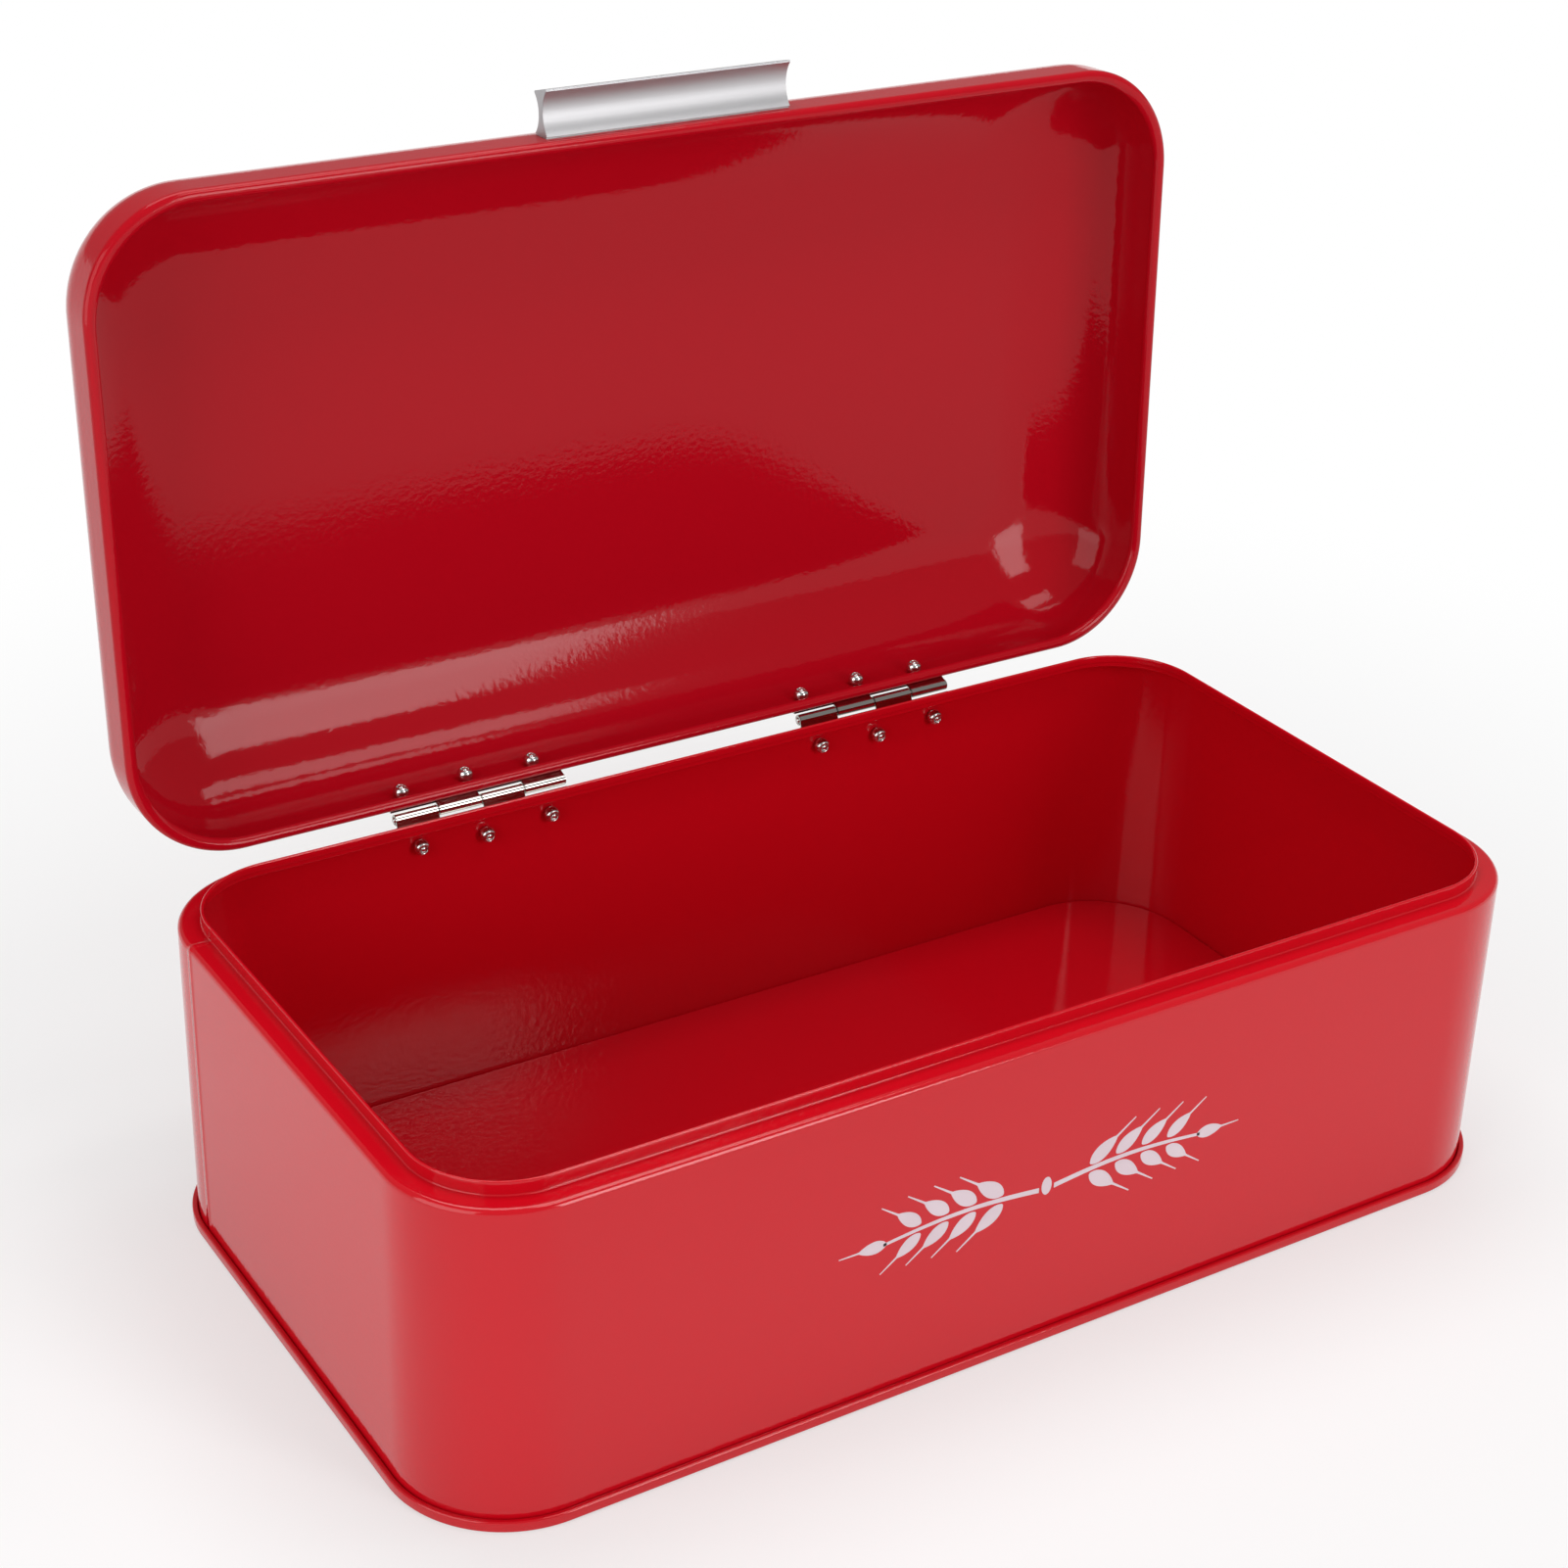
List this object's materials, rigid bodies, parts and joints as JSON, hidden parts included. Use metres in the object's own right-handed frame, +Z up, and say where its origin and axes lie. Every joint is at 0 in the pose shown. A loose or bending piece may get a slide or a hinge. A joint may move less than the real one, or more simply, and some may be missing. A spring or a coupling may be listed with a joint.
{
  "type": "bread box",
  "caption": "Oblong bread box in glossy red sheet steel with rounded corners, and a deep lid hinged at the back that stands open; metal bar handle.",
  "frame": {"origin": "the middle of the footprint, on the surface the box stands on", "axes": "+Z up, +Y towards the back, where the hinges are, and +X to the right of someone facing the front"},
  "size_m": [0.4294, 0.2866, 0.3656],
  "materials": {
    "body_paint": "gloss",
    "base_paint": "gloss",
    "lid_paint": "gloss",
    "handle_metal": "satin",
    "hinge_metal": "bright nickel plate",
    "pin_metal": "bright",
    "rivet_metal": "bright",
    "screw_metal": "bright"
  },
  "bodies": {
    "box": {"body_wall": "body_paint", "base_plate": "base_paint", "left_hinge_body_leaf": "hinge_metal", "right_hinge_body_leaf": "hinge_metal", "left_hinge_pin": "pin_metal", "right_hinge_pin": "pin_metal", "body_rivet_1": "rivet_metal", "body_rivet_2": "rivet_metal", "body_rivet_3": "rivet_metal", "body_rivet_4": "rivet_metal", "body_rivet_5": "rivet_metal", "body_rivet_6": "rivet_metal"},
    "lid": {"lid_shell": "lid_paint", "handle": "handle_metal", "left_handle_screw": "screw_metal", "right_handle_screw": "screw_metal", "left_hinge_lid_leaf": "hinge_metal", "right_hinge_lid_leaf": "hinge_metal", "lid_rivet_1": "rivet_metal", "lid_rivet_2": "rivet_metal", "lid_rivet_3": "rivet_metal", "lid_rivet_4": "rivet_metal", "lid_rivet_5": "rivet_metal", "lid_rivet_6": "rivet_metal"}
  },
  "joints": [
    {"name": "lid_hinge", "type": "hinge", "parent": "box", "child": "lid", "pos_m": [0, 0.1173, 0.11765], "axis": [1, 0, 0], "range_deg": [0, 92]}
  ]
}
